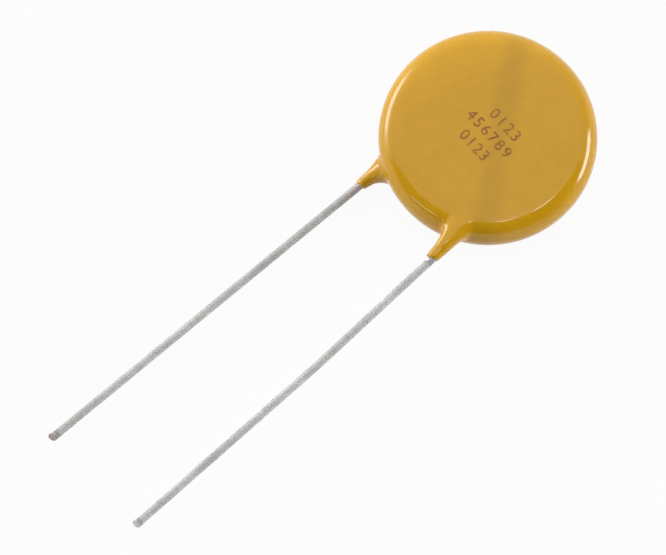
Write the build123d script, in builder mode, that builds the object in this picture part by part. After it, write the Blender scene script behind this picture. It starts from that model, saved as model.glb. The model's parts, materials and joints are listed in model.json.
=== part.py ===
"""Radial-lead disc varistor, dipped in epoxy, lying on its back face.

A zinc-oxide ceramic disc carries a fired silver electrode on each face.  A tinned copper
wire is soldered to each electrode, one on the front to the right and one on the back to
the left.  The whole is dipped in epoxy, which runs a little way down both wires.

Frame: millimetres, +Z up.  The origin is the centre of the coating's back face, which is
the face the part lies on.  The disc's axis is +Z and the wires leave along -Y.
"""

import os
from math import cos, radians, sin, sqrt, tan

from build123d import *

# ---------------------------------------------------------------- driving dimensions

# ceramic and electrodes
ceramic_diameter = 20.0
ceramic_thickness = 2.0
ceramic_edge_break = 0.15
electrode_margin = 1.25  # bare ceramic outside the silver
electrode_thickness = 0.05

# wires
wire_diameter = 0.8
lead_pitch = 10.73  # between the wire axes, level with the ends of the run-downs
lead_shift = 0.41  # how far the middle of the pair sits to the right of the disc's axis
lead_splay = 1.25  # degrees that each wire leans outwards, taken end to end
lead_length = 39.2  # bare wire, from the run-down's end to the tip
front_set_angle = 1.6  # degrees of the soft set in the front wire
front_set_distance = 13.9  # from the run-down's end to the middle of that set
front_set_radius = 120.0
back_kink_angle = 1.0  # degrees that the back wire turns where it leaves the coating
back_kink_distance = 0.4  # from the run-down's end to that kink
back_kink_radius = 12.0
cold_end_chamfer = 0.1

# sheared tips
front_shear_angle = 6.0  # degrees that the end's face is out of square, seen from above
back_shear_angle = 12.0
front_shear_rise = 24.0  # degrees that the end's face looks up
back_shear_rise = 32.0
burr_thickness = 0.13  # lip that the cutters dragged out of the end
burr_offset = 0.11  # towards -X

# solder
solder_film = 0.03  # between a wire and its electrode
solder_margin = 1.35  # silver left bare beyond each end of the solder
solder_width = 2.4
solder_height = 0.6
solder_slope = 40.0  # degrees that its sides lean in from upright
solder_edge = 0.08

# dipped coating
rim_coat = 0.75  # around the ceramic
wire_coat = 0.12  # over the wires, at the edge of a face
face_slope = 1.3  # degrees that the crowned front face falls at its edge

# coating run-downs on the wires
run_down_drop = 1.55  # from the lowest point of the rim to the run-downs' ends
run_down_film = 0.13  # coating over and under the wire at that end
run_down_lip = 0.06  # rounding of that end
front_end_lean = 22.0  # degrees that the front one's end is out of square, lower towards -X
back_end_lean = 6.0
front_left_film = 0.24  # coating beside the front wire at that end, towards -X
front_left_flare = 0.66  # what that side gains up to where it leaves the rim
front_right_film = 0.07
front_right_flare = 0.07
front_ridge = 0.26  # coating over the front wire where it crosses the rim
back_left_film = 0.09  # the same on the back
back_left_flare = 0.22
back_right_film = 0.12
back_right_flare = 0.75
back_ridge = 0.1  # clear of what the part lies on
root_fillet = 0.8  # between a run-down and the rim

# ---------------------------------------------------------------- derived dimensions

wire_radius = wire_diameter / 2
electrode_radius = ceramic_diameter / 2 - electrode_margin
electrode_height = ceramic_thickness / 2 + electrode_thickness
lead_offset = electrode_height + solder_film + wire_radius

# The rim is one arc from face to face, and the front's crown leaves it at a tangent.
body_radius = ceramic_diameter / 2 + rim_coat
mid_height = lead_offset + wire_radius + wire_coat
rim_centre = body_radius - mid_height
crown_slope = radians(face_slope)
crown_edge_x = rim_centre + mid_height * sin(crown_slope)
crown_edge_z = mid_height * (1 + cos(crown_slope))
body_thickness = crown_edge_z + crown_edge_x / 2 * tan(crown_slope)

# The set and the kink leave each wire with the same splay end to end.
run_down_y = -body_radius - run_down_drop
front_upper_angle = lead_splay + (1 - front_set_distance / lead_length) * front_set_angle
front_lower_angle = front_upper_angle - front_set_angle
back_lower_angle = -lead_splay
back_upper_angle = back_lower_angle + back_kink_angle

os.makedirs("parts", exist_ok=True)


def below(point, angle, length):
    """The point a given length down a wire that leans by angle degrees towards +X."""
    return point + Vector(sin(radians(angle)), -cos(radians(angle)), 0) * length


def across(point, angle):
    """The plane square to a wire at a point, with its x axis towards -X and z up the wire."""
    level = Vector(-cos(radians(angle)), -sin(radians(angle)), 0)
    facing = Vector(-sin(radians(angle)), cos(radians(angle)), 0)
    return Plane(origin=point, x_dir=level, z_dir=facing)


# ---------------------------------------------------------------- where each wire runs

front_exit = Vector(lead_shift + lead_pitch / 2, run_down_y, mid_height + lead_offset)
front_solder_length = 2 * (sqrt(electrode_radius**2 - front_exit.X**2) - solder_margin)
front_seat = below(front_exit, front_upper_angle, run_down_y)
front_cold_end = below(front_seat, front_upper_angle, wire_radius - front_solder_length / 2)
front_set = below(front_exit, front_upper_angle, front_set_distance)
front_tip = below(front_set, front_lower_angle, lead_length - front_set_distance)

back_exit = Vector(lead_shift - lead_pitch / 2, run_down_y, mid_height - lead_offset)
back_solder_length = 2 * (sqrt(electrode_radius**2 - back_exit.X**2) - solder_margin)
back_seat = below(back_exit, back_upper_angle, run_down_y)
back_cold_end = below(back_seat, back_upper_angle, wire_radius - back_solder_length / 2)
back_kink = below(back_exit, back_upper_angle, back_kink_distance)
back_tip = below(back_kink, back_lower_angle, lead_length - back_kink_distance)

# ---------------------------------------------------------------- ceramic and electrodes

with BuildPart() as ceramic_disc:
    with BuildSketch(Plane.XY.offset(mid_height - ceramic_thickness / 2)):
        Circle(ceramic_diameter / 2)
    extrude(amount=ceramic_thickness)
    chamfer(ceramic_disc.edges().filter_by(GeomType.CIRCLE), ceramic_edge_break)

with BuildPart() as front_electrode:
    with BuildSketch(Plane.XY.offset(mid_height + ceramic_thickness / 2)):
        Circle(electrode_radius)
    extrude(amount=electrode_thickness)

with BuildPart() as back_electrode:
    with BuildSketch(Plane.XY.offset(mid_height - electrode_height)):
        Circle(electrode_radius)
    extrude(amount=electrode_thickness)

# ---------------------------------------------------------------- wires


def make_lead(cold_end, corner, tip, corner_radius, tip_angle, shear_angle, shear_rise):
    """One wire, from its soldered end round one slight corner to its sheared tip."""
    shear = across(tip, tip_angle + shear_angle).rotated((shear_rise, 0, 0))
    with BuildPart() as lead:
        with BuildLine() as route:
            FilletPolyline(
                cold_end, corner, below(tip, tip_angle, wire_radius), radius=corner_radius
            )
        with BuildSketch(Plane(route.line ^ 0)):
            Circle(wire_radius)
        sweep(path=route.line)
        chamfer(lead.edges().group_by(Axis.Y)[-1], cold_end_chamfer)
        split(bisect_by=shear, keep=Keep.TOP)
        with BuildSketch(shear):
            with Locations((burr_offset, 0)):
                Circle(wire_radius)
        extrude(amount=burr_thickness)
    return lead


front_lead = make_lead(
    front_cold_end,
    front_set,
    front_tip,
    front_set_radius,
    front_lower_angle,
    front_shear_angle,
    front_shear_rise,
)
back_lead = make_lead(
    back_cold_end,
    back_kink,
    back_tip,
    back_kink_radius,
    back_lower_angle,
    back_shear_angle,
    back_shear_rise,
)

# ---------------------------------------------------------------- solder


def make_solder(seat, angle, up, length, wire):
    """The solder along a wire: a flat-topped mound on the silver that the wire lies in."""
    foot = Vector(seat.X, seat.Y, mid_height + up * electrode_height)
    along = Vector(sin(radians(angle)), -cos(radians(angle)), 0)
    away = Axis((0, 0, 0), (0, 0, up))
    with BuildPart() as solder:
        with BuildSketch(Plane(origin=foot, x_dir=along, z_dir=(0, 0, up))):
            SlotOverall(length, solder_width)
        extrude(amount=solder_height, taper=solder_slope)
        fillet(solder.faces().sort_by(away)[-1].edges(), solder_edge)
        add(wire.part, mode=Mode.SUBTRACT)
    return solder


front_solder = make_solder(front_seat, front_upper_angle, 1, front_solder_length, front_lead)
back_solder = make_solder(back_seat, back_upper_angle, -1, back_solder_length, back_lead)

# ---------------------------------------------------------------- coating


def run_down_sections(exit_point, angle, up, ridge, left, right, end_lean):
    """Ellipses of a run-down, from its end on the bare wire to its root inside the disc.

    Each station is a distance up the wire, the share of its flare that each side has, and
    the coating over the wire on the near face's side and under it towards the mid-plane.
    A side is its film at the end and its flare.
    """
    stations = (
        (0.0, 0.0, min(run_down_film, ridge), run_down_film),
        (1.3, 0.45, (run_down_film + ridge) / 2, 0.24),
        (2.9, 1.0, ridge, 0.60),
        (4.6, 1.7, ridge, 0.60),
        (7.4, 2.3, 0.0, 0.60),
    )
    sections = []
    for distance, share, over, under in stations:
        left_coat, right_coat = (film + share * flare for film, flare in (left, right))
        middle = ((left_coat - right_coat) / 2, up * (over - under) / 2)
        half_width = wire_radius + (left_coat + right_coat) / 2
        lean = 0.0 if distance else end_lean
        with BuildSketch(across(below(exit_point, angle, -distance), angle + lean)) as section:
            with Locations(middle):
                Ellipse(half_width / cos(radians(lean)), wire_radius + (over + under) / 2)
        sections.append(section.sketch)
    return sections


front_sections = run_down_sections(
    front_exit,
    front_upper_angle,
    1,
    front_ridge,
    (front_left_film, front_left_flare),
    (front_right_film, front_right_flare),
    front_end_lean,
)
back_sections = run_down_sections(
    back_exit,
    back_upper_angle,
    -1,
    back_ridge,
    (back_left_film, back_left_flare),
    (back_right_film, back_right_flare),
    back_end_lean,
)

with BuildPart() as coating:
    with BuildSketch(Plane.XZ):
        with BuildLine():
            crown_edge = (crown_edge_x, crown_edge_z)
            Line((0, 0), (rim_centre, 0))
            ThreePointArc((rim_centre, 0), (body_radius, mid_height), crown_edge)
            Bezier(crown_edge, (crown_edge_x / 2, body_thickness), (0, body_thickness))
            Line((0, body_thickness), (0, 0))
        make_face()
    revolve(axis=Axis.Z)
    for exit_point, sections in ((front_exit, front_sections), (back_exit, back_sections)):
        loft(sections)
        fillet(coating.edges(Select.NEW), root_fillet)
        fillet(coating.edges().sort_by_distance(exit_point)[0], run_down_lip)
    for inner in (ceramic_disc, front_electrode, back_electrode, front_solder, back_solder):
        add(inner.part, mode=Mode.SUBTRACT)
    for wire in (front_lead, back_lead):
        add(wire.part, mode=Mode.SUBTRACT)

# ---------------------------------------------------------------- files

nodes = {
    "coating": coating,
    "ceramic_disc": ceramic_disc,
    "front_electrode": front_electrode,
    "back_electrode": back_electrode,
    "front_solder": front_solder,
    "back_solder": back_solder,
    "front_lead": front_lead,
    "back_lead": back_lead,
}

for node_name, node in nodes.items():
    node.part.label = node_name
    export_step(node.part, f"parts/{node_name}.step")
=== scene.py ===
"""Looks of a radial-lead disc varistor that lies on its back face.

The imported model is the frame.  The dipped coating and the two tinned wires are modelled
again around it as finished pieces, the parts sealed inside keep their own solids and get
their finishes, and plain counting digits are printed on the front.
"""

import json
import logging
import math
from dataclasses import dataclass, field
from enum import Enum
from typing import Callable, Sequence

import bpy
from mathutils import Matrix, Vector

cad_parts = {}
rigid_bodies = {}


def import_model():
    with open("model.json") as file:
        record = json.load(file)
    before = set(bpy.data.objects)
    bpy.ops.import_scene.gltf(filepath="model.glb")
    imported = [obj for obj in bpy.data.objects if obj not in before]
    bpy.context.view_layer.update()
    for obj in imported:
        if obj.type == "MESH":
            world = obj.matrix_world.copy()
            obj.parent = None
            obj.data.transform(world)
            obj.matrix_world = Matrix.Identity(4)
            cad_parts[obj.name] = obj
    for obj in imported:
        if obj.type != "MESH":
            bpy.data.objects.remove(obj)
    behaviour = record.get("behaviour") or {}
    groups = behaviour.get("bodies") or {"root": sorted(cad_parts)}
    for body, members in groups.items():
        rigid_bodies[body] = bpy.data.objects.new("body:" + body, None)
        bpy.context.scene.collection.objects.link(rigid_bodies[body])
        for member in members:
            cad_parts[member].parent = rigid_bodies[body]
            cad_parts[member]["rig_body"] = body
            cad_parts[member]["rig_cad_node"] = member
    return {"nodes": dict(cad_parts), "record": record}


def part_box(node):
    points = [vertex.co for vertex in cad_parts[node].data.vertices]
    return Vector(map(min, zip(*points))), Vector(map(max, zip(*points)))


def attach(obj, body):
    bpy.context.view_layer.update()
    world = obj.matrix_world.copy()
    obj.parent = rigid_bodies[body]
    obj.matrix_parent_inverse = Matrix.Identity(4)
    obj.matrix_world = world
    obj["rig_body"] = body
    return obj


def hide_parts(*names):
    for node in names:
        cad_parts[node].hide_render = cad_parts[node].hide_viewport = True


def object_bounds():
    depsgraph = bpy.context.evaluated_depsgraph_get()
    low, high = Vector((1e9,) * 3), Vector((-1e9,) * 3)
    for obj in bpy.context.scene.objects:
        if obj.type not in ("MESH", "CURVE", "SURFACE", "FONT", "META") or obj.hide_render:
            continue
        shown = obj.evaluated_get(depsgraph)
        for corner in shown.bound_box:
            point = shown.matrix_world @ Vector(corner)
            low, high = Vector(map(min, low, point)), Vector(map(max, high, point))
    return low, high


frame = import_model()
CAD_LOW, CAD_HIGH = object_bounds()

MM = 0.001
SAME_PLACE = 0.0005 * MM  # points closer than this are one point
PER_MM = (1000, 1000, 1000)  # scale of a pattern that is given in millimetres
LOG = logging.getLogger("varistor")
Socket = bpy.types.NodeSocket
Colour = tuple[float, float, float]


class Slot(Enum):
    """The record's material slots for the epoxy and the wires, which no new piece uses."""

    EPOXY = "epoxy"
    WIRE = "tinned_copper"


# ------------------------------------------------------------------ working with meshes


def focus(piece: bpy.types.Object) -> bpy.types.Object:
    """Selects one object and makes it the active one.

    Args:
        piece: The object to work on.

    Returns:
        The same object.
    """
    bpy.ops.object.select_all(action="DESELECT")
    piece.select_set(True)
    bpy.context.view_layer.objects.active = piece
    return piece


def open_edit(piece: bpy.types.Object, kind: str, choose: Callable[[], None]) -> None:
    """Opens edit mode with a selection that is made in code.

    Args:
        piece: The mesh object.
        kind: EDGE or FACE.
        choose: Marks what is selected, in object mode, with nothing selected before.
    """
    focus(piece)
    bpy.ops.object.mode_set(mode="EDIT")
    bpy.ops.mesh.select_mode(type=kind)
    bpy.ops.mesh.select_all(action="DESELECT")
    bpy.ops.object.mode_set(mode="OBJECT")
    choose()
    bpy.ops.object.mode_set(mode="EDIT")


def select_faces(piece: bpy.types.Object, test: Callable[[bpy.types.MeshPolygon], bool]) -> None:
    """Opens edit mode with the faces selected that pass a test.

    Args:
        piece: The mesh object.
        test: Says whether a face is selected.
    """

    def choose() -> None:
        """Marks the faces."""
        for face in piece.data.polygons:
            face.select = test(face)

    open_edit(piece, "FACE", choose)


def select_edges(piece: bpy.types.Object, test: Callable[[Vector, Vector], bool]) -> None:
    """Opens edit mode with the edges selected that pass a test.

    Args:
        piece: The mesh object.
        test: Says whether an edge is selected, from the places of its ends.
    """

    def choose() -> None:
        """Marks the edges."""
        ends = piece.data.vertices
        for edge in piece.data.edges:
            edge.select = test(*(ends[i].co for i in edge.vertices))

    open_edit(piece, "EDGE", choose)


def close_edit() -> None:
    """Leaves edit mode."""
    bpy.ops.object.mode_set(mode="OBJECT")


def settle(piece: bpy.types.Object) -> None:
    """Puts a piece's place into its mesh, so that its object sits at the origin."""
    focus(piece)
    bpy.ops.object.transform_apply(location=True, rotation=True, scale=True)


def face_outwards(piece: bpy.types.Object) -> None:
    """Merges doubled vertices and turns every face outwards.

    Args:
        piece: The mesh object.
    """
    select_faces(piece, lambda face: True)
    bpy.ops.mesh.remove_doubles(threshold=SAME_PLACE)
    bpy.ops.mesh.normals_make_consistent(inside=False)
    close_edit()


def join(parts: Sequence[bpy.types.Object], name: str) -> bpy.types.Object:
    """Joins parts into one named piece.

    Args:
        parts: The parts.
        name: The piece's name.

    Returns:
        The piece.
    """
    focus(parts[0])
    for part in parts[1:]:
        part.select_set(True)
    bpy.ops.object.join()
    piece = bpy.context.object
    piece.name = name
    return piece


def finish_with(piece: bpy.types.Object, kind: str, **settings: object) -> None:
    """Adds one modifier to a piece and applies it.

    Args:
        piece: The mesh object.
        kind: The modifier's type.
        settings: The modifier's own settings.
    """
    focus(piece)
    modifier = piece.modifiers.new(kind.title(), kind)
    for name, value in settings.items():
        setattr(modifier, name, value)
    bpy.ops.object.modifier_apply(modifier=modifier.name)


def weigh(piece: bpy.types.Object, name: str, weight: Callable[[Vector], float]) -> str:
    """Adds a vertex group whose weights follow a function of the place.

    Args:
        piece: The mesh object.
        name: The group's name.
        weight: The weight at a place, from 0 to 1.

    Returns:
        The group's name.
    """
    group = piece.vertex_groups.new(name=name)
    for vertex in piece.data.vertices:
        share = weight(vertex.co)
        if share > 0:
            group.add([vertex.index], share, "REPLACE")
    return name


def clouds(name: str, size: float, depth: int) -> bpy.types.Texture:
    """A cloud texture for a Displace modifier.

    Args:
        name: The texture's name.
        size: The size of its largest lumps, in metres.
        depth: How many finer layers it has.

    Returns:
        The texture.
    """
    texture = bpy.data.textures.new(name, "CLOUDS")
    texture.noise_scale = size
    texture.noise_depth = depth
    return texture


def ripple(piece: bpy.types.Object, group: str, texture: bpy.types.Texture, height: float) -> None:
    """Displaces the surface by a cloud texture where a vertex group says so.

    Args:
        piece: The mesh object.
        group: The vertex group.
        texture: The texture, whose middle value leaves the surface where it is.
        height: From the deepest hollow to the highest lump.
    """
    finish_with(
        piece,
        "DISPLACE",
        texture=texture,
        texture_coords="LOCAL",
        vertex_group=group,
        strength=height,
        mid_level=0.5,
    )


def solid_copy(node: str) -> bpy.types.Object:
    """A closed copy of a CAD node, to cut its room out of another piece.

    Args:
        node: The node's name.

    Returns:
        The copy, which belongs to nothing in the frame.
    """
    original = frame["nodes"][node]
    copy = original.copy()
    copy.data = original.data.copy()
    copy.name = f"cutter_{node}"
    copy.parent = None
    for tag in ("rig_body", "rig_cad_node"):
        del copy[tag]
    bpy.context.scene.collection.objects.link(copy)
    face_outwards(copy)
    return copy


def ramp(value: float, low: float, high: float) -> float:
    """A smooth step from 0 at low to 1 at high."""
    share = min(1.0, max(0.0, (value - low) / (high - low)))
    return share * share * (3 - 2 * share)


# ------------------------------------------------------------------ shader helpers


@dataclass
class Sheet:
    """A node tree that is being written."""

    tree: bpy.types.NodeTree

    def node(self, kind: str, settings: dict | None = None, **inputs: object) -> bpy.types.Node:
        """Adds a node.

        Args:
            kind: The node's type.
            settings: Values of the node's own settings.
            inputs: Sockets or values by input name, with spaces written as underscores.

        Returns:
            The node.
        """
        made = self.tree.nodes.new(kind)
        for name, value in (settings or {}).items():
            setattr(made, name, value)
        for name, value in inputs.items():
            self.feed(made.inputs[name.replace("_", " ")], value)
        return made

    def feed(self, socket: Socket, value: object) -> None:
        """Links a socket or sets a value on an input.

        Args:
            socket: The input.
            value: What feeds it.
        """
        if isinstance(value, Socket):
            self.tree.links.new(value, socket)
        else:
            socket.default_value = value

    def math(self, operation: str, *values: object, clamp: bool = False) -> Socket:
        """A Math node on up to three values.

        Args:
            operation: The node's operation.
            values: Sockets or numbers.
            clamp: Whether the result stays between 0 and 1.

        Returns:
            The result.
        """
        made = self.node("ShaderNodeMath", {"operation": operation, "use_clamp": clamp})
        for socket, value in zip(made.inputs, values):
            self.feed(socket, value)
        return made.outputs[0]

    def step(self, value: Socket, low: float, high: float, start: float = 0.0, end: float = 1.0) -> Socket:
        """A smooth step of a value.

        Args:
            value: The value.
            low: Where the step starts.
            high: Where it ends.
            start: The result at low.
            end: The result at high.

        Returns:
            The result.
        """
        made = self.node(
            "ShaderNodeMapRange",
            {"interpolation_type": "SMOOTHSTEP"},
            Value=value,
            From_Min=low,
            From_Max=high,
            To_Min=start,
            To_Max=end,
        )
        return made.outputs["Result"]

    def blend(self, share: object, first: object, second: object, mode: str = "MIX") -> Socket:
        """A mix of two colours.

        Args:
            share: How much of the second one is in it.
            first: The first colour, as a socket or a value.
            second: The second one.
            mode: How they are mixed.

        Returns:
            The mixed colour.
        """
        factor, colour_a, colour_b = 0, 6, 7
        made = self.node("ShaderNodeMix", {"data_type": "RGBA", "blend_type": mode})
        for index, value in ((factor, share), (colour_a, first), (colour_b, second)):
            self.feed(made.inputs[index], value)
        return made.outputs[2]

    def tone(self, share: Socket, first: Colour, second: Colour) -> Socket:
        """A tone between two plain colours."""
        return self.blend(share, (*first, 1), (*second, 1))

    def place(self, scale: Sequence[float], turn: float = 0.0) -> Socket:
        """Object coordinates, turned about the upright axis and scaled.

        Args:
            scale: The factor on each axis, so 1000 gives millimetres.
            turn: The turn in radians.

        Returns:
            The coordinates.
        """
        where = self.node("ShaderNodeTexCoord").outputs["Object"]
        made = self.node("ShaderNodeMapping", {"vector_type": "TEXTURE"}, Vector=where)
        made.inputs["Rotation"].default_value = (0.0, 0.0, turn)
        made.inputs["Scale"].default_value = [1 / factor for factor in scale]
        return made.outputs["Vector"]


def new_material(name: str) -> tuple[bpy.types.Material, Sheet, bpy.types.Node]:
    """An empty material with its Principled BSDF.

    Args:
        name: The material's name.

    Returns:
        The material, its node sheet and the shader node.
    """
    material = bpy.data.materials.new(name)
    material.use_nodes = True
    material.node_tree.nodes.clear()
    sheet = Sheet(material.node_tree)
    shader = sheet.node("ShaderNodeBsdfPrincipled")
    sheet.node("ShaderNodeOutputMaterial", None, Surface=shader.outputs["BSDF"])
    return material, sheet, shader


class Effect(Enum):
    """Shader effects that several finishes share."""

    MOTTLE = "Mottle"
    RELIEF = "Relief"


def new_group(
    which: Effect, inputs: Sequence[str], output: str, kind: str
) -> tuple[Sheet, dict[str, Socket], Socket]:
    """An empty node group for an effect, with a Vector input and plain number inputs.

    Args:
        which: Which effect it holds.
        inputs: Names of its number inputs.
        output: The output's name.
        kind: The output's socket type.

    Returns:
        The node sheet, the group's inputs by name and the socket that takes its result.
    """
    tree = bpy.data.node_groups.new(which.value, "ShaderNodeTree")
    tree.interface.new_socket("Vector", in_out="INPUT", socket_type="NodeSocketVector")
    for name in inputs:
        tree.interface.new_socket(name, in_out="INPUT", socket_type="NodeSocketFloat")
    tree.interface.new_socket(output, in_out="OUTPUT", socket_type=kind)
    sheet = Sheet(tree)
    given = sheet.node("NodeGroupInput").outputs
    result = sheet.node("NodeGroupOutput").inputs[0]
    return sheet, {name: given[name] for name in ("Vector", *inputs)}, result


def make_mottle() -> None:
    """The group that gives soft uneven patches as a mask around one half."""
    middle = 0.5
    coarse = (1.0, 3.0, 0.65)
    fine = (4.3, 2.0, 0.35)
    sheet, given, result = new_group(Effect.MOTTLE, ("Scale", "Contrast"), "Mask", "NodeSocketFloat")
    both: object = -middle
    for factor, detail, share in (coarse, fine):
        scale = sheet.math("MULTIPLY", given["Scale"], factor)
        noise = sheet.node("ShaderNodeTexNoise", None, Vector=given["Vector"], Scale=scale, Detail=detail)
        both = sheet.math("MULTIPLY_ADD", noise.outputs[0], share, both)
    sheet.feed(result, sheet.math("MULTIPLY_ADD", both, given["Contrast"], middle, clamp=True))


def make_relief() -> None:
    """The group that gives the normal of a fine uneven surface."""
    detail = 3.0
    sheet, given, result = new_group(Effect.RELIEF, ("Scale", "Height"), "Normal", "NodeSocketVector")
    noise = sheet.node(
        "ShaderNodeTexNoise", None, Vector=given["Vector"], Scale=given["Scale"], Detail=detail
    )
    bump = sheet.node("ShaderNodeBump", None, Height=noise.outputs[0], Distance=given["Height"])
    sheet.feed(result, bump.outputs["Normal"])


def effect(sheet: Sheet, kind: Effect, **inputs: object) -> Socket:
    """Places a shared effect in a material.

    Args:
        sheet: The material's node sheet.
        kind: Which effect.
        inputs: Sockets or values by input name.

    Returns:
        The effect's output.
    """
    return sheet.node("ShaderNodeGroup", {"node_tree": bpy.data.node_groups[kind.value]}, **inputs).outputs[0]


def mottle(sheet: Sheet, where: Socket, scale: float, contrast: float) -> Socket:
    """The mask of soft uneven patches at a place."""
    return effect(sheet, Effect.MOTTLE, Vector=where, Scale=scale, Contrast=contrast)


def roughen(sheet: Sheet, shader: bpy.types.Node, where: Socket, scale: float, height: float) -> None:
    """Gives a shader the normal of a fine uneven surface.

    Args:
        sheet: The material's node sheet.
        shader: The shader node.
        where: The coordinates.
        scale: How fine it is.
        height: How high it stands.
    """
    normal = effect(sheet, Effect.RELIEF, Vector=where, Scale=scale, Height=height)
    sheet.feed(shader.inputs["Normal"], normal)


# ------------------------------------------------------------------ finishes


@dataclass(frozen=True)
class DippedEpoxy:
    """Glossy ochre epoxy, a little uneven in tone, with a few brown specks in it.

    A faint deeper streak crosses the face, and painted light makes the face a shade lighter
    towards the view's far side.  Their places are in millimetres, along the view's turn.
    """

    deep: Colour = (0.616, 0.316, 0.0010)
    pale: Colour = (0.659, 0.346, 0.0025)
    patch_scale: float = 0.22
    grain_scale: float = 1.4
    contrast: float = 1.6
    grain_depth: float = 0.04
    speck: Colour = (0.36, 0.16, 0.010)
    speck_scale: float = 0.36
    speck_core: float = 0.018
    speck_edge: float = 0.045
    speck_strength: float = 0.5
    rough: tuple[float, float] = (0.40, 0.50)
    specular: float = 0.08
    coat: float = 1.0
    coat_rough: float = 0.08
    coat_ior: float = 1.5
    relief_scale: float = 0.9
    relief_height: float = 0.0002 * MM
    view_turn: float = math.radians(48.65)
    streak_foot: float = 1.3
    streak_slope: float = 0.17
    streak_core: float = 0.3
    streak_edge: float = 2.1
    streak_depth: float = 0.11
    painted_light_lean: float = -0.35
    painted_light_start: float = 4.0
    painted_light_end: float = 9.5
    painted_light_gain: float = 0.10

    def material(self) -> bpy.types.Material:
        """The finish as a material.

        Returns:
            The material.
        """
        material, sheet, shader = new_material("epoxy")
        where = sheet.place(PER_MM)
        patches = mottle(sheet, where, self.patch_scale, self.contrast)
        grain = mottle(sheet, where, self.grain_scale, self.contrast)
        shade = sheet.step(grain, 0.0, 1.0, 1 - self.grain_depth, 1 + self.grain_depth)
        tone = sheet.tone(patches, self.deep, self.pale)
        tone = sheet.blend(1.0, tone, shade, "MULTIPLY")
        # Painted light: the face is lighter towards the view's far side; a faint deeper streak crosses it.
        tone = sheet.blend(1.0, tone, self._streak_and_painted_light(sheet), "MULTIPLY")
        flecks = sheet.node("ShaderNodeTexVoronoi", {"feature": "F1"}, Vector=where, Scale=self.speck_scale)
        apart = flecks.outputs["Distance"]
        dust = sheet.step(apart, self.speck_core, self.speck_edge, self.speck_strength, 0.0)
        sheet.feed(shader.inputs["Base Color"], sheet.blend(dust, tone, (*self.speck, 1)))
        sheet.feed(shader.inputs["Roughness"], sheet.step(grain, 0.0, 1.0, *self.rough))
        roughen(sheet, shader, where, self.relief_scale, self.relief_height)
        shader.inputs["Specular IOR Level"].default_value = self.specular
        shader.inputs["Coat Weight"].default_value = self.coat
        shader.inputs["Coat Roughness"].default_value = self.coat_rough
        shader.inputs["Coat IOR"].default_value = self.coat_ior
        return material

    def _streak_and_painted_light(self, sheet: Sheet) -> Socket:
        """The faint deeper streak and the painted light that makes the face lighter towards the view's far
        side.

        Args:
            sheet: The material's node sheet.

        Returns:
            The factor on the tone.
        """
        where = sheet.place(PER_MM, self.view_turn)
        parts = sheet.node("ShaderNodeSeparateXYZ", None, Vector=where).outputs
        line = sheet.math("MULTIPLY_ADD", parts["Y"], self.streak_slope, self.streak_foot)
        offset = sheet.math("ABSOLUTE", sheet.math("SUBTRACT", parts["X"], line))
        streak = sheet.step(offset, self.streak_core, self.streak_edge, 1 - self.streak_depth, 1.0)
        # Painted light: the tone rises towards the view's far side, as if more light fell there.
        upper = sheet.math("MULTIPLY_ADD", parts["X"], self.painted_light_lean, parts["Y"])
        painted_light = sheet.step(upper, self.painted_light_start, self.painted_light_end, 1.0, 1 + self.painted_light_gain)
        return sheet.math("MULTIPLY", streak, painted_light)


@dataclass(frozen=True)
class TinnedWire:
    """Satin tin on copper: streaked along the wire, with duller blotches.

    The film is the stain next to the coating, which is full and ends so many millimetres
    below the coating.  The notch shade is painted shade: a dark spot where the cutters
    pinched the wire, so many millimetres up from its tip.
    """

    name: str
    film: Colour
    film_full: float
    film_end: float
    notch_shade_rise: float
    bright: Colour = (0.66, 0.66, 0.645)
    dull: Colour = (0.42, 0.42, 0.405)
    notch_shade: Colour = (0.26, 0.26, 0.26)
    stretch: tuple[float, float, float] = (2600, 420, 2600)
    streak_scale: float = 0.2
    streak_contrast: float = 2.4
    blotch_scale: float = 0.3
    blotch_contrast: float = 3.0
    blotch_share: float = 0.6
    waver: float = 0.5
    notch_shade_core: float = 0.10
    notch_shade_edge: float = 0.32
    notch_shade_strength: float = 0.6
    metal: float = 0.25
    film_metal: float = 0.15
    rough: tuple[float, float] = (0.72, 0.60)
    relief_scale: float = 0.4
    relief_height: float = 0.002 * MM

    def material(self, coat_end: float, tip: float) -> bpy.types.Material:
        """The finish as a material.

        Args:
            coat_end: Where on Y the coating ends.
            tip: Where on Y the wire ends.

        Returns:
            The material.
        """
        material, sheet, shader = new_material(self.name)
        where = sheet.place(PER_MM)
        stretched = sheet.place(self.stretch)
        streaks = mottle(sheet, stretched, self.streak_scale, self.streak_contrast)
        blotches = mottle(sheet, where, self.blotch_scale, self.blotch_contrast)
        streaks = sheet.math("MULTIPLY", streaks, 1 - self.blotch_share)
        wear = sheet.math("MULTIPLY_ADD", blotches, self.blotch_share, streaks)
        tone = sheet.tone(wear, self.dull, self.bright)
        level = sheet.node("ShaderNodeSeparateXYZ", None, Vector=where).outputs["Y"]
        level = sheet.math("MULTIPLY_ADD", blotches, self.waver, level)
        film = sheet.step(level, coat_end / MM - self.film_end, coat_end / MM - self.film_full)
        tone = sheet.blend(film, tone, (*self.film, 1))
        # Painted shade: a dark spot where the cutters' notch near the tip would lie in shade.
        apart = sheet.math("ABSOLUTE", sheet.math("SUBTRACT", level, tip / MM + self.notch_shade_rise))
        notch_shaded = sheet.step(apart, self.notch_shade_edge, self.notch_shade_core, 0.0, self.notch_shade_strength)
        sheet.feed(shader.inputs["Base Color"], sheet.blend(notch_shaded, tone, (*self.notch_shade, 1)))
        metal = sheet.math("MULTIPLY_ADD", film, self.film_metal - self.metal, self.metal)
        sheet.feed(shader.inputs["Metallic"], metal)
        sheet.feed(shader.inputs["Roughness"], sheet.step(wear, 0.0, 1.0, *self.rough))
        roughen(sheet, shader, stretched, self.relief_scale, self.relief_height)
        return material


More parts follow.
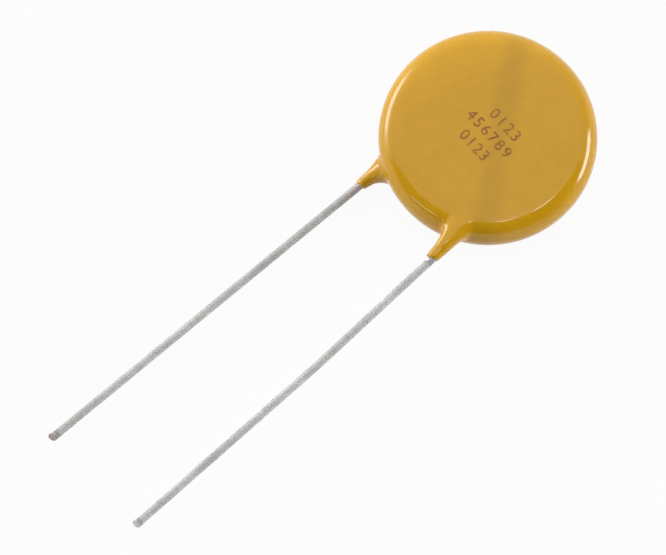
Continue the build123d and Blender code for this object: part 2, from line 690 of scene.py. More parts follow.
@dataclass(frozen=True)
class CutCopper:
    """The sheared end of a wire: copper and smeared tin with the drag marks of the cutters."""

    name: str
    colour: Colour
    smear: Colour
    stretch: tuple[float, float, float] = (9000, 9000, 1500)
    drag_scale: float = 1.0
    drag_contrast: float = 3.0
    metal: float = 0.2
    rough: tuple[float, float] = (0.42, 0.58)
    relief_scale: float = 1.4
    relief_height: float = 0.01 * MM

    def material(self) -> bpy.types.Material:
        """The finish as a material.

        Returns:
            The material.
        """
        material, sheet, shader = new_material(self.name)
        stretched = sheet.place(self.stretch)
        drag = mottle(sheet, stretched, self.drag_scale, self.drag_contrast)
        sheet.feed(shader.inputs["Base Color"], sheet.tone(drag, self.colour, self.smear))
        sheet.feed(shader.inputs["Roughness"], sheet.step(drag, 0.0, 1.0, *self.rough))
        shader.inputs["Metallic"].default_value = self.metal
        roughen(sheet, shader, stretched, self.relief_scale, self.relief_height)
        return material


@dataclass(frozen=True)
class PrintedInk:
    """Thin brown stamp ink that lets the epoxy show where it is patchy."""

    ink: Colour = (0.27, 0.075, 0.012)
    under: Colour = (0.50, 0.215, 0.012)
    patch_scale: float = 2.3
    patch_contrast: float = 3.2
    patch_start: float = 0.1
    patch_end: float = 0.9
    patch_strength: float = 0.7
    rough: tuple[float, float] = (0.55, 0.40)
    specular: float = 0.1
    coat: float = 0.6
    coat_rough: float = 0.12

    def material(self) -> bpy.types.Material:
        """The finish as a material.

        Returns:
            The material.
        """
        material, sheet, shader = new_material("stamp_ink")
        patchy = mottle(sheet, sheet.place(PER_MM), self.patch_scale, self.patch_contrast)
        share = sheet.step(patchy, self.patch_start, self.patch_end, 0.0, self.patch_strength)
        sheet.feed(shader.inputs["Base Color"], sheet.tone(share, self.ink, self.under))
        sheet.feed(shader.inputs["Roughness"], sheet.step(patchy, 0.0, 1.0, *self.rough))
        shader.inputs["Specular IOR Level"].default_value = self.specular
        shader.inputs["Coat Weight"].default_value = self.coat
        shader.inputs["Coat Roughness"].default_value = self.coat_rough
        return material


@dataclass(frozen=True)
class Sealed:
    """A matt finish with an even grain, for what the coating hides."""

    name: str
    dark: Colour
    light: Colour
    grain_scale: float
    metal: float
    rough: float
    patch_spread: float = 5.0
    patch_contrast: float = 2.4
    grain_contrast: float = 3.0
    grain_share: float = 0.6
    rough_spread: float = 0.08
    relief_height: float = 0.004 * MM

    def material(self) -> bpy.types.Material:
        """The finish as a material.

        Returns:
            The material.
        """
        material, sheet, shader = new_material(self.name)
        where = sheet.place(PER_MM)
        patches = mottle(sheet, where, self.grain_scale / self.patch_spread, self.patch_contrast)
        grain = mottle(sheet, where, self.grain_scale, self.grain_contrast)
        patches = sheet.math("MULTIPLY", patches, 1 - self.grain_share)
        share = sheet.math("MULTIPLY_ADD", grain, self.grain_share, patches)
        sheet.feed(shader.inputs["Base Color"], sheet.tone(share, self.dark, self.light))
        rough = sheet.step(grain, 0.0, 1.0, self.rough + self.rough_spread, self.rough - self.rough_spread)
        sheet.feed(shader.inputs["Roughness"], rough)
        shader.inputs["Metallic"].default_value = self.metal
        roughen(sheet, shader, where, self.grain_scale, self.relief_height)
        return material


# ------------------------------------------------------------------ wires


@dataclass
class Wire:
    """A tinned copper wire from its soldered end to its sheared tip.

    The end's face is out of square by the lean, seen from above, and looks up by the rise.
    The neck is how far the wire is pinched on its -X side, from its top inside the coating
    to its foot just below it.
    """

    name: str
    node: str
    mount: str
    finish: TinnedWire
    cut: CutCopper
    shear_lean: float
    shear_rise: float
    neck: float = 0.0
    neck_top: float = 0.25 * MM
    neck_foot: float = -0.6 * MM
    neck_shoulder: float = 0.1 * MM
    sides: int = 36
    rounds: int = 2
    cuts: int = 13
    lump: float = 0.03 * MM
    lump_size: float = 1.5 * MM
    lump_fade: float = 0.8 * MM
    lip_length: float = 0.05 * MM
    lip_shift: float = 0.08 * MM
    ring_depth: float = 0.05 * MM
    square_on: float = 0.95
    faces_out: float = 0.6
    edge_angle: float = math.radians(40)
    radius: float = field(init=False)
    down: Vector = field(init=False)
    tip: Vector = field(init=False)
    corner: Vector = field(init=False)
    cold_end: Vector = field(init=False)

    def __post_init__(self) -> None:
        """Reads the wire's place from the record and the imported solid."""
        mount = next(m for m in frame["record"]["mounts"] if m["name"] == self.mount)
        self.radius = mount["dims"]["r_mm"] * MM
        self.down = Vector(mount["axis"]).normalized()
        half = self.down * mount["dims"]["length_mm"] * MM / 2
        self.tip = Vector(mount["pos_m"]) + half
        self.corner = Vector(mount["pos_m"]) - half
        points = [vertex.co for vertex in frame["nodes"][self.node].data.vertices]
        top = max(point.y for point in points)
        end_ring = [point for point in points if point.y > top - self.ring_depth]
        self.cold_end = sum(end_ring, Vector()) / len(end_ring)

    def centre_at(self, level: float) -> Vector:
        """The wire's centre at a place on Y, above its corner."""
        share = (level - self.cold_end.y) / (self.corner.y - self.cold_end.y)
        return self.cold_end.lerp(self.corner, share)

    def shear_facing(self) -> Vector:
        """Which way the sheared face looks.

        Returns:
            The face's normal.
        """
        lean = math.atan2(self.down.x, -self.down.y) + self.shear_lean
        level = math.cos(self.shear_rise)
        return Vector((math.sin(lean) * level, -math.cos(lean) * level, math.sin(self.shear_rise)))

    def build(self, coat_end: float) -> bpy.types.Object:
        """Models the wire.

        Args:
            coat_end: Where on Y the coating ends, below which the wire is bare.

        Returns:
            The finished piece.
        """
        upper = (self.corner - self.cold_end).normalized()
        bpy.ops.object.select_all(action="DESELECT")
        bpy.ops.mesh.primitive_circle_add(
            vertices=self.sides,
            radius=self.radius,
            fill_type="NGON",
            location=self.cold_end,
            rotation=(math.pi / 2, 0, math.atan2(upper.x, -upper.y)),
        )
        wire = bpy.context.object
        wire.name = self.name
        settle(wire)
        select_faces(wire, lambda face: True)
        past_tip = self.tip + self.down * self.radius
        for start, end in ((self.cold_end, self.corner), (self.corner, past_tip)):
            bpy.ops.mesh.extrude_region_move(TRANSFORM_OT_translate={"value": end - start})
        close_edit()
        for _ in range(self.rounds):
            select_edges(wire, lambda first, second: abs(first.y - second.y) > self.radius)
            bpy.ops.mesh.subdivide(number_cuts=self.cuts)
            close_edit()
        face_outwards(wire)
        self._shear(wire)
        self._lump(wire, coat_end)
        if self.neck:
            self._pinch(wire, coat_end)
        return wire

    def _shear(self, wire: bpy.types.Object) -> None:
        """Cuts the tip out of square and drags its lip to one side.

        Args:
            wire: The piece.
        """
        facing = self.shear_facing()
        select_faces(wire, lambda face: True)
        bpy.ops.mesh.bisect(
            plane_co=self.tip, plane_no=facing, use_fill=True, clear_outer=True, threshold=SAME_PLACE
        )
        close_edit()
        near_tip = self.tip.y / 2
        select_faces(
            wire, lambda face: face.center.y < near_tip and face.normal.dot(facing) > self.square_on
        )
        drag = Vector((-self.lip_shift, 0, 0)) + facing * self.lip_length
        bpy.ops.mesh.extrude_region_move(TRANSFORM_OT_translate={"value": drag})
        close_edit()

    def _lump(self, wire: bpy.types.Object, coat_end: float) -> None:
        """Gives the bare stretch its slightly lumpy tin.

        Args:
            wire: The piece.
            coat_end: Where on Y the coating ends.
        """
        bare = weigh(wire, "bare", lambda place: ramp(coat_end - place.y, 0, self.lump_fade))
        ripple(wire, bare, clouds(f"{self.name}_lumps", self.lump_size, 1), self.lump)

    def _pinch(self, wire: bpy.types.Object, coat_end: float) -> None:
        """Gives the wire its neck.

        Args:
            wire: The piece.
            coat_end: Where on Y the coating ends.
        """

        def share_of_neck(place: Vector) -> float:
            """How much of the neck a place has: most on the -X side.

            Args:
                place: The place.

            Returns:
                The share, from 0 to 1.
            """
            from_top = ramp(coat_end + self.neck_top - place.y, 0, self.neck_shoulder)
            from_foot = ramp(place.y - coat_end - self.neck_foot, 0, self.neck_shoulder)
            aside = (self.centre_at(place.y).x - place.x) / self.radius
            return from_top * from_foot * max(0.0, aside)

        group = weigh(wire, "neck", share_of_neck)
        finish_with(wire, "DISPLACE", direction="X", vertex_group=group, strength=self.neck, mid_level=0.0)

    def dress(self, wire: bpy.types.Object, coat_end: float) -> None:
        """Gives the wire and its sheared end their finishes and seats it in the frame.

        Args:
            wire: The piece.
            coat_end: Where on Y the coating ends.
        """
        wire.data.materials.append(self.finish.material(coat_end, self.tip.y))
        wire.data.materials.append(self.cut.material())
        facing = self.shear_facing()
        for face in wire.data.polygons:
            near_tip = face.center.y < self.tip.y + self.radius
            if near_tip and face.normal.dot(facing) > self.faces_out:
                face.material_index = 1
        focus(wire)
        bpy.ops.object.shade_smooth_by_angle(angle=self.edge_angle)
        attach(wire, "root")
        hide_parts(self.node)


# ------------------------------------------------------------------ dipped coating


@dataclass(frozen=True)
class Root:
    """A place where a run-down flows into the rim, so that the skin is smoothed more there.

    It is a rise up the wire from the coating's end, and stands off the wire's axis towards
    +X and upwards.  All sizes are in millimetres.
    """

    rise: float
    aside: float
    above: float
    reach: float


@dataclass(frozen=True)
class RunDown:
    """The coating that ran down one wire, from its ragged end to its root in the disc.

    Its rings are ellipses.  Each has its rise up the wire and the coat on the wire's -X and
    +X sides, over the wire towards the near face and under it towards the mid-plane, all in
    millimetres.
    """

    wire: Wire
    end_lean: float
    rings: tuple[tuple[float, float, float, float, float], ...]
    roots: tuple[Root, ...]
    sides: int = 48

    def build(self, end: float, middle: float) -> bpy.types.Object:
        """Models the run-down's outside.

        Args:
            end: Where on Y it ends.
            middle: The height of the disc's mid-plane.

        Returns:
            A closed tube, to be blended into the disc.
        """
        foot = self.wire.centre_at(end)
        upwards = (self.wire.cold_end - foot).normalized()
        facing = 1 if foot.z > middle else -1
        rings = []
        for ring in self.rings:
            rise, left, right, over, under = (size * MM for size in ring)
            aside = Vector(((right - left) / 2, 0, facing * (over - under) / 2))
            half_width = self.wire.radius + (left + right) / 2
            half_height = self.wire.radius + (over + under) / 2
            rings.append((foot + upwards * rise + aside, half_width, half_height))
        centre, half_width, half_height = rings[0]
        bpy.ops.object.select_all(action="DESELECT")
        bpy.ops.mesh.primitive_circle_add(
            vertices=self.sides,
            radius=1.0,
            fill_type="NGON",
            location=centre,
            rotation=(math.pi / 2, 0, self.end_lean),
        )
        tube = bpy.context.object
        tube.scale = (half_width / math.cos(self.end_lean), half_height, 1)
        settle(tube)
        select_faces(tube, lambda face: True)
        flatten = 0.0
        for next_centre, next_width, next_height in rings[1:]:
            bpy.ops.mesh.extrude_region_move(TRANSFORM_OT_translate={"value": next_centre - centre})
            growth = (next_width / half_width, flatten, next_height / half_height)
            bpy.ops.transform.resize(value=growth, center_override=next_centre)
            centre, half_width, half_height = next_centre, next_width, next_height
            flatten = 1.0
        close_edit()
        face_outwards(tube)
        return tube

    def root_spots(self, end: float) -> list[tuple[Vector, float]]:
        """Where the run-down flows into the rim.

        Args:
            end: Where on Y it ends.

        Returns:
            The centre and the reach of each root.
        """
        foot = self.wire.centre_at(end)
        upwards = (self.wire.cold_end - foot).normalized()
        return [
            (foot + (upwards * root.rise + Vector((root.aside, 0, root.above))) * MM, root.reach * MM)
            for root in self.roots
        ]


@dataclass
class Coating:
    """The dipped epoxy: a disc with a full round rim and a run-down on each wire.

    The run-downs end at one level on Y, past which their ragged ends hang by the fringe.
    """

    crown: float = 0.13 * MM
    crown_power: int = 6
    crown_edge: float = 0.3 * MM
    rim_share: float = 0.998
    rim_steps: int = 18
    sides: int = 256
    voxel: float = 0.125 * MM
    skin_passes: int = 20
    end_share: float = 0.6
    end_low: float = 0.3 * MM
    end_high: float = 1.6 * MM
    root_passes: int = 70
    root_core: float = 0.4
    calm_height: float = 0.2 * MM
    waved_height: float = 1.5 * MM
    wave_height: float = 0.016 * MM
    wave_size: float = 5.0 * MM
    ripple_height: float = 0.006 * MM
    ripple_size: float = 1.3 * MM
    fringe: float = 0.15 * MM
    fray_height: float = 0.10 * MM
    fray_size: float = 0.6 * MM
    fray_reach: float = 0.5 * MM
    fray_fade: float = 0.4 * MM
    edge_angle: float = math.radians(50)
    name: str = "dipped_coating"
    radius: float = field(init=False)
    middle: float = field(init=False)
    end: float = field(init=False)

    def __post_init__(self) -> None:
        """Reads the coating's sizes from the frame."""
        low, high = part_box("coating")
        ceramic_low, ceramic_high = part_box("ceramic_disc")
        self.radius = high.y
        self.middle = (ceramic_low.z + ceramic_high.z) / 2
        self.end = low.y + self.fringe

    def build(self, run_downs: Sequence[RunDown]) -> bpy.types.Object:
        """Models the coating.

        Args:
            run_downs: Its run-downs.

        Returns:
            The finished piece.
        """
        tubes = [run_down.build(self.end, self.middle) for run_down in run_downs]
        skin = join([self._disc(), *tubes], self.name)
        finish_with(skin, "REMESH", mode="VOXEL", voxel_size=self.voxel, adaptivity=0.0)
        self._blend(skin, run_downs)
        self._raise_crown(skin)
        self._roughen(skin)
        self._hollow(skin, [run_down.wire.node for run_down in run_downs])
        return skin

    def _disc(self) -> bpy.types.Object:
        """The disc with its rim rounded from face to face.

        Returns:
            A closed disc.
        """
        bpy.ops.object.select_all(action="DESELECT")
        bpy.ops.mesh.primitive_cylinder_add(
            vertices=self.sides,
            radius=self.radius,
            depth=2 * self.middle,
            location=(0, 0, self.middle),
        )
        disc = bpy.context.object
        settle(disc)
        select_edges(disc, lambda first, second: abs(first.z - second.z) < self.middle)
        bpy.ops.mesh.bevel(
            offset=self.middle * self.rim_share, segments=self.rim_steps, profile=0.5, affect="EDGES"
        )
        close_edit()
        return disc

    def _blend(self, skin: bpy.types.Object, run_downs: Sequence[RunDown]) -> None:
        """Smooths the skin, least at the thin ends and most where the roots meet the rim.

        Args:
            skin: The piece.
            run_downs: Its run-downs.
        """
        low, high = self.end + self.end_low, self.end + self.end_high
        spots = [spot for run_down in run_downs for spot in run_down.root_spots(self.end)]

        def off_ends(place: Vector) -> float:
            """Full on the disc and less at the thin ends."""
            return self.end_share + (1 - self.end_share) * ramp(place.y, low, high)

        def near_root(place: Vector) -> float:
            """How close a place is to one of the roots that flow into the rim."""
            return max(
                1 - ramp((place - centre).length, self.root_core * reach, reach) for centre, reach in spots
            )

        for passes, name, weight in (
            (self.skin_passes, "body", off_ends),
            (self.root_passes, "roots", near_root),
        ):
            group = weigh(skin, name, weight)
            finish_with(skin, "SMOOTH", factor=0.5, iterations=passes, vertex_group=group)

    def _raise_crown(self, skin: bpy.types.Object) -> None:
        """Lifts the front face into a shallow crown that falls off near its edge.

        Args:
            skin: The piece.
        """
        flat = self.radius - self.middle

        def crowned(place: Vector) -> float:
            """The share of the crown's height at a place."""
            share = max(0.0, 1 - (place.xy.length / flat) ** self.crown_power)
            return share * ramp(place.z - self.middle, 0, self.middle - self.crown_edge)

        group = weigh(skin, "crown", crowned)
        finish_with(skin, "DISPLACE", direction="Z", vertex_group=group, strength=self.crown, mid_level=0.0)

    def _roughen(self, skin: bpy.types.Object) -> None:
        """Gives the skin its slow waves, its faint ripple and its ragged ends.

        Args:
            skin: The piece.
        """
        fray_start = self.end + self.fray_reach
        waved = weigh(skin, "waved", lambda place: ramp(place.z, self.calm_height, self.waved_height))
        ripple(skin, waved, clouds("dip_waves", self.wave_size, 1), self.wave_height)
        ripple(skin, waved, clouds("dip_ripples", self.ripple_size, 0), self.ripple_height)
        ends = weigh(skin, "ends", lambda place: ramp(fray_start - place.y, 0, self.fray_fade))
        ripple(skin, ends, clouds("ragged_end", self.fray_size, 0), self.fray_height)

    def _hollow(self, skin: bpy.types.Object, wire_nodes: Sequence[str]) -> None:
        """Cuts the room of everything that the coating seals in.

        Args:
            skin: The piece.
            wire_nodes: The CAD nodes of the wires.
        """
        inner = ("ceramic_disc", "front_electrode", "back_electrode", "front_solder", "back_solder")
        for node in (*inner, *wire_nodes):
            cutter = solid_copy(node)
            finish_with(skin, "BOOLEAN", operation="DIFFERENCE", solver="EXACT", object=cutter)
            bpy.data.objects.remove(cutter)

    def dress(self, skin: bpy.types.Object) -> None:
        """Gives the coating its finish and seats it in the frame.

        Args:
            skin: The piece.
        """
        skin.data.materials.clear()
        skin.data.materials.append(DippedEpoxy().material())
        focus(skin)
        bpy.ops.object.shade_smooth_by_angle(angle=self.edge_angle)
        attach(skin, "root")
        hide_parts("coating")


# ------------------------------------------------------------------ stamp


@dataclass
class Stamp:
    """Three short lines of plain counting digits, printed on the front.

    Each line has its text, the place of its middle and the distance between its digits, in
    millimetres.
    """

    lines: tuple[tuple[str, tuple[float, float], float], ...] = (
        ("0123", (0.53, 1.84), 1.02),
        ("456789", (0.14, 0.06), 1.02),
        ("0123", (0.06, -1.78), 0.95),
    )
    letter_size: float = 1.62 * MM
    cap_share: float = 0.69
    thickness: float = 0.012 * MM
    curve_steps: int = 6
    top_reach: float = 2.0 * MM

    def build(self, skin: bpy.types.Object) -> bpy.types.Object:
        """Models the stamp on the crown.

        Args:
            skin: The coating that it is printed on.

        Returns:
            The finished piece.
        """
        top = max(vertex.co.z for vertex in skin.data.vertices if vertex.co.xy.length < self.top_reach)
        digits = []
        for text, (middle, level), pitch in self.lines:
            start = middle - (len(text) - 1) / 2 * pitch
            foot = level * MM - self.cap_share * self.letter_size / 2
            for number, digit in enumerate(text):
                digits.append(self._digit(digit, Vector(((start + number * pitch) * MM, foot, top))))
        stamp = join(digits, "number_stamp")
        face_outwards(stamp)
        return stamp

    def _digit(self, digit: str, place: Vector) -> bpy.types.Object:
        """One digit, centred on a place along its line.

        Args:
            digit: The digit.
            place: The middle of its foot.

        Returns:
            The digit as a mesh.
        """
        bpy.ops.object.select_all(action="DESELECT")
        bpy.ops.object.text_add(location=place)
        letter = bpy.context.object
        letter.data.body = digit
        letter.data.align_x = "CENTER"
        letter.data.size = self.letter_size
        letter.data.extrude = self.thickness
        letter.data.resolution_u = self.curve_steps
        focus(letter)
        bpy.ops.object.convert(target="MESH")
        settle(letter)
        return letter

    def dress(self, stamp: bpy.types.Object) -> None:
        """Gives the stamp its ink and seats it in the frame.

        Args:
            stamp: The piece.
        """
        stamp.data.materials.clear()
        stamp.data.materials.append(PrintedInk().material())
        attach(stamp, "root")


# ------------------------------------------------------------------ sealed parts


@dataclass(frozen=True)
class SealedParts:
    """The ceramic, its silver and the solder, which keep their own solids."""

    ceramic: Sealed = Sealed("zinc_oxide", (0.035, 0.034, 0.033), (0.075, 0.073, 0.068), 9.0, 0.0, 0.85)
    silver: Sealed = Sealed("silver", (0.62, 0.61, 0.58), (0.86, 0.85, 0.82), 6.0, 1.0, 0.5)
    solder: Sealed = Sealed("solder", (0.40, 0.40, 0.41), (0.62, 0.62, 0.62), 2.0, 1.0, 0.38)

    def dress(self) -> None:
        """Gives each sealed part its finish."""
        groups = (
            (self.ceramic, ("ceramic_disc",)),
            (self.silver, ("front_electrode", "back_electrode")),
            (self.solder, ("front_solder", "back_solder")),
        )
        for finish, nodes in groups:
            material = finish.material()
            for node in nodes:
                for place in frame["nodes"][node].material_slots:
                    place.material = material
                LOG.info("dressed %s", node)


# ------------------------------------------------------------------ studio


@dataclass(frozen=True)
class Window:
    """A soft patch of light, placed by where it stands round the part, in degrees.

    The bearing goes from the view's right towards its far side.
    """

    bearing: float
    half_width: float
    low: float
    high: float
    blur: float
    radiance: float


@dataclass(frozen=True)
class Strip:
    """A thin soft lamp overhead, between two places on a plane one unit above the part.

    The first number of a place goes to the view's right and the second to its far side.
    The soft shares say over how much of its width and length its edges fade.
    """

    start: tuple[float, float]
    end: tuple[float, float]
    half_width: float
    radiance: float
    soft_sides: float = 0.3
    soft_ends: float = 0.15


@dataclass
class Studio:
    """The camera, the studio's light and the pale floor with its low wall.

    The canopy is a dark cover overhead on the near side.  Its front edge lies on the plane
    one unit above the part, and it fades out between two heights in degrees.  Directions
    below the horizon's height count as that high.
    """

    azimuth: float = 48.65
    elevation: float = 77.2
    distance: float = 2.0
    view_width: float = 65.0708 * MM
    aim_shift: tuple[float, float] = (0.52 * MM, -0.145 * MM)
    sensor_width: float = 36.0
    near_limit: float = 0.01
    far_limit: float = 20.0
    floor_radius: float = 3.0
    floor_sides: int = 96
    floor_gap: float = 0.02 * MM
    wall_height: float = 0.15
    paper: float = 0.72
    white_share: float = 0.94
    walls: float = 1.0
    right_wall: float = 0.42
    right_start: float = 0.15
    right_full: float = 0.85
    canopy: float = 0.08
    canopy_edge: tuple[float, float] = (0.08, -0.02)
    canopy_heights: tuple[float, float] = (12.0, 34.0)
    horizon: float = 0.02
    windows: tuple[Window, ...] = (
        Window(0.0, 15.0, 10.0, 29.0, 6.0, 11.0),
        Window(150.0, 17.0, -6.0, 24.0, 17.0, 7.5),
    )
    strips: tuple[Strip, ...] = (
        Strip((0.02, 0.01), (0.085, 0.015), 0.022, 9.0),
        Strip((0.13, 0.0), (0.25, 0.01), 0.03, 8.0),
        Strip((-0.518, -0.625), (-1.347, -0.673), 0.05, 5.0),
    )

    def axes(self) -> tuple[Vector, Vector]:
        """The view's right and its far side, on the floor."""
        turn = math.radians(self.azimuth)
        return Vector((math.cos(turn), math.sin(turn), 0)), Vector((-math.sin(turn), math.cos(turn), 0))

    def set_camera(self) -> None:
        """Makes the camera."""
        _, far = self.axes()
        rise = math.radians(self.elevation)
        back = Vector((0, 0, math.sin(rise))) - far * math.cos(rise)
        aim = (CAD_LOW + CAD_HIGH) / 2 + Vector((*self.aim_shift, 0))
        data = bpy.data.cameras.new("camera")
        data.sensor_width = self.sensor_width
        data.lens = self.sensor_width * self.distance / self.view_width
        data.clip_start = self.near_limit
        data.clip_end = self.far_limit
        camera = bpy.data.objects.new("camera", data)
        bpy.context.scene.collection.objects.link(camera)
        camera.location = aim + back * self.distance
        camera.rotation_euler = (-back).to_track_quat("-Z", "Y").to_euler()
        bpy.context.scene.camera = camera

    def lay_floor(self) -> None:
        """Makes the pale floor with its low wall."""
        bpy.ops.object.select_all(action="DESELECT")
        bpy.ops.mesh.primitive_circle_add(
            vertices=self.floor_sides,
            radius=self.floor_radius,
            fill_type="NGON",
            location=(0, 0, CAD_LOW.z - self.floor_gap),
        )
        floor = bpy.context.object
        floor.name = "floor"
        settle(floor)
        select_edges(floor, lambda first, second: True)
        bpy.ops.mesh.extrude_edges_move(TRANSFORM_OT_translate={"value": (0, 0, self.wall_height)})
        close_edit()
        floor.data.materials.append(self._paper())

    def _paper(self) -> bpy.types.Material:
        """Pale paper that shows white but keeps the part's soft shadow.

        Returns:
            The material.
        """
        material = bpy.data.materials.new("pale_floor")
        material.use_nodes = True
        material.node_tree.nodes.clear()
        sheet = Sheet(material.node_tree)
        paper = sheet.node("ShaderNodeBsdfDiffuse", None, Color=(self.paper, self.paper, self.paper, 1))
        white = sheet.node("ShaderNodeEmission", None, Color=(1, 1, 1, 1), Strength=1.0)
        path = sheet.node("ShaderNodeLightPath").outputs
        seen = sheet.math("MAXIMUM", path["Is Camera Ray"], path["Is Glossy Ray"])
        seen = sheet.math("MAXIMUM", seen, path["Is Transmission Ray"])
        share = sheet.math("MULTIPLY", seen, self.white_share)
        mixed = sheet.node("ShaderNodeMixShader")
        for socket, value in zip(mixed.inputs, (share, paper.outputs[0], white.outputs[0])):
            sheet.feed(socket, value)
        sheet.node("ShaderNodeOutputMaterial", None, Surface=mixed.outputs[0])
        return material

    def light_room(self) -> None:
        """Makes the room: pale walls, a dark canopy on the near side, windows and thin lamps."""
        world = bpy.data.worlds.new("room")
        bpy.context.scene.world = world
        world.use_nodes = True
        world.node_tree.nodes.clear()
        sheet = Sheet(world.node_tree)
        direction = sheet.node("ShaderNodeTexCoord").outputs["Generated"]
        right, far = self.axes()
        aside = self._along(sheet, direction, right)
        ahead = self._along(sheet, direction, far)
        height = self._along(sheet, direction, Vector((0, 0, 1)))
        over = sheet.math("MAXIMUM", height, self.horizon)
        across = sheet.math("DIVIDE", aside, over)
        away = sheet.math("DIVIDE", ahead, over)
        rise = sheet.math("DEGREES", sheet.math("ARCSINE", height))
        near = sheet.step(away, *self.canopy_edge)
        shaded = sheet.math("MULTIPLY", near, sheet.step(rise, *self.canopy_heights))
        light = sheet.step(aside, self.right_start, self.right_full, self.walls, self.right_wall)
        light = sheet.math("MULTIPLY", light, sheet.step(shaded, 0.0, 1.0, 1.0, self.canopy))
        for window in self.windows:
            light = sheet.math("ADD", light, self._window(sheet, direction, rise, window))
        for strip in self.strips:
            light = sheet.math("ADD", light, self._strip(sheet, across, away, strip))
        shade = sheet.node("ShaderNodeBackground", None, Color=(1, 1, 1, 1), Strength=light)
        sheet.node("ShaderNodeOutputWorld", None, Surface=shade.outputs[0])

    def _along(self, sheet: Sheet, direction: Socket, axis: Vector) -> Socket:
        """How far a direction goes along an axis.

        Args:
            sheet: The room's node sheet.
            direction: The direction.
            axis: The axis, one unit long.

        Returns:
            The distance for one unit of the direction.
        """
        made = sheet.node("ShaderNodeVectorMath", {"operation": "DOT_PRODUCT"})
        sheet.feed(made.inputs[0], direction)
        sheet.feed(made.inputs[1], axis)
        return made.outputs["Value"]

    def _window(self, sheet: Sheet, direction: Socket, rise: Socket, window: Window) -> Socket:
        """The light of one window.

        Args:
            sheet: The room's node sheet.
            direction: Where the light comes from.
            rise: Its height in degrees.
            window: The window.

        Returns:
            The radiance.
        """
        right, far = self.axes()
        bearing = math.radians(window.bearing)
        front = self._along(sheet, direction, right * math.cos(bearing) + far * math.sin(bearing))
        side = self._along(sheet, direction, far * math.cos(bearing) - right * math.sin(bearing))
        turn = sheet.math("DEGREES", sheet.math("ARCTAN2", side, front))
        turn = sheet.math("ABSOLUTE", turn)
        half = window.blur / 2
        mask = sheet.step(turn, window.half_width + half, window.half_width - half)
        low = sheet.step(rise, window.low - half, window.low + half)
        high = sheet.step(rise, window.high + half, window.high - half)
        mask = sheet.math("MULTIPLY", mask, sheet.math("MULTIPLY", low, high))
        return sheet.math("MULTIPLY", mask, window.radiance)

    def _strip(self, sheet: Sheet, across: Socket, away: Socket, strip: Strip) -> Socket:
        """The light of one thin lamp.

        Args:
            sheet: The room's node sheet.
            across: How far to the view's right the light comes from, on the plane overhead.
            away: How far to its far side.
            strip: The lamp.

        Returns:
            The radiance.
        """
        (start_x, start_y), (end_x, end_y) = strip.start, strip.end
        slope = (end_y - start_y) / (end_x - start_x)
        line = sheet.math("MULTIPLY_ADD", across, slope, start_y - slope * start_x)
        offset = sheet.math("ABSOLUTE", sheet.math("SUBTRACT", away, line))
        outside = strip.half_width * (1 + strip.soft_sides)
        inside = strip.half_width * (1 - strip.soft_sides)
        mask = sheet.step(offset, outside, inside)
        low, high = min(start_x, end_x), max(start_x, end_x)
        soft = (high - low) * strip.soft_ends
        for edge, full in ((low, low + soft), (high, high - soft)):
            mask = sheet.math("MULTIPLY", mask, sheet.step(across, edge, full))
        return sheet.math("MULTIPLY", mask, strip.radiance)

    def build(self) -> None:
        """Sets up the whole studio."""
        self.set_camera()
        self.lay_floor()
        self.light_room()
        bpy.context.scene.view_settings.view_transform = "Standard"


# ------------------------------------------------------------------ assembly


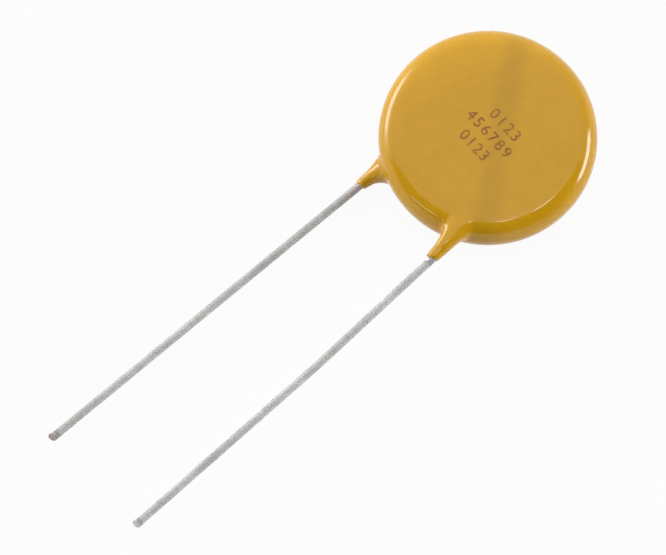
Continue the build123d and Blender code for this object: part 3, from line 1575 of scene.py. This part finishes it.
def plan_front() -> RunDown:
    """The front wire, to the right, and the coating that ran down it.

    Returns:
        The run-down with its wire.
    """
    wire = Wire(
        "front_wire",
        "front_lead",
        "front_lead_pin",
        TinnedWire("front_tin", (0.37, 0.375, 0.41), 0.19, 0.59, 0.60),
        CutCopper("front_cut", (0.70, 0.67, 0.65), (0.65, 0.645, 0.64)),
        math.radians(6),
        math.radians(24),
        neck=0.22 * MM,
    )
    rings = (
        (0.0, 0.29, 0.13, 0.19, 0.23),
        (1.2, 0.50, 0.16, 0.24, 0.35),
        (2.1, 0.78, 0.18, 0.28, 0.55),
        (3.0, 1.20, 0.26, 0.30, 0.70),
        (3.8, 1.70, 0.36, 0.28, 0.75),
        (5.0, 2.05, 0.50, 0.20, 0.75),
        (7.4, 2.20, 0.60, 0.00, 0.60),
    )
    roots = (
        Root(3.11, 0.8, -0.2, 1.2),
        Root(4.11, -0.4, 0.4, 1.6),
        Root(3.41, -1.1, 0.3, 1.5),
    )
    return RunDown(wire, math.radians(22), rings, roots)


def plan_back() -> RunDown:
    """The back wire, to the left, and the coating that ran down it.

    Returns:
        The run-down with its wire.
    """
    wire = Wire(
        "back_wire",
        "back_lead",
        "back_lead_pin",
        TinnedWire("back_tin", (0.60, 0.53, 0.51), 0.39, 2.29, 0.64),
        CutCopper("back_cut", (0.50, 0.41, 0.375), (0.46, 0.42, 0.40)),
        math.radians(12),
        math.radians(32),
    )
    rings = (
        (0.0, 0.13, 0.20, 0.11, 0.21),
        (1.2, 0.20, 0.44, 0.12, 0.44),
        (1.9, 0.26, 1.00, 0.12, 0.80),
        (2.5, 0.40, 2.10, 0.12, 1.25),
        (4.2, 0.65, 2.40, 0.10, 1.30),
        (7.4, 0.65, 2.40, 0.00, 1.00),
    )
    roots = (
        Root(2.21, 1.0, 0.4, 1.3),
        Root(2.81, -0.2, 1.0, 1.5),
        Root(3.21, -0.9, 0.6, 1.1),
    )
    return RunDown(wire, math.radians(6), rings, roots)


def report(piece: bpy.types.Object) -> None:
    """Reports a finished piece."""
    LOG.info("built %s with %d faces", piece.name, len(piece.data.polygons))


def main() -> None:
    """Builds the part's looks and its studio."""
    logging.basicConfig(level=logging.INFO, format="%(name)s: %(message)s")
    make_mottle()
    make_relief()
    run_downs = (plan_front(), plan_back())
    coating = Coating()
    skin = coating.build(run_downs)
    coating.dress(skin)
    report(skin)
    for wire in (run_down.wire for run_down in run_downs):
        piece = wire.build(coating.end)
        wire.dress(piece, coating.end)
        report(piece)
    stamp = Stamp()
    digits = stamp.build(skin)
    stamp.dress(digits)
    report(digits)
    SealedParts().dress()
    Studio().build()


if __name__ == "__main__":
    main()
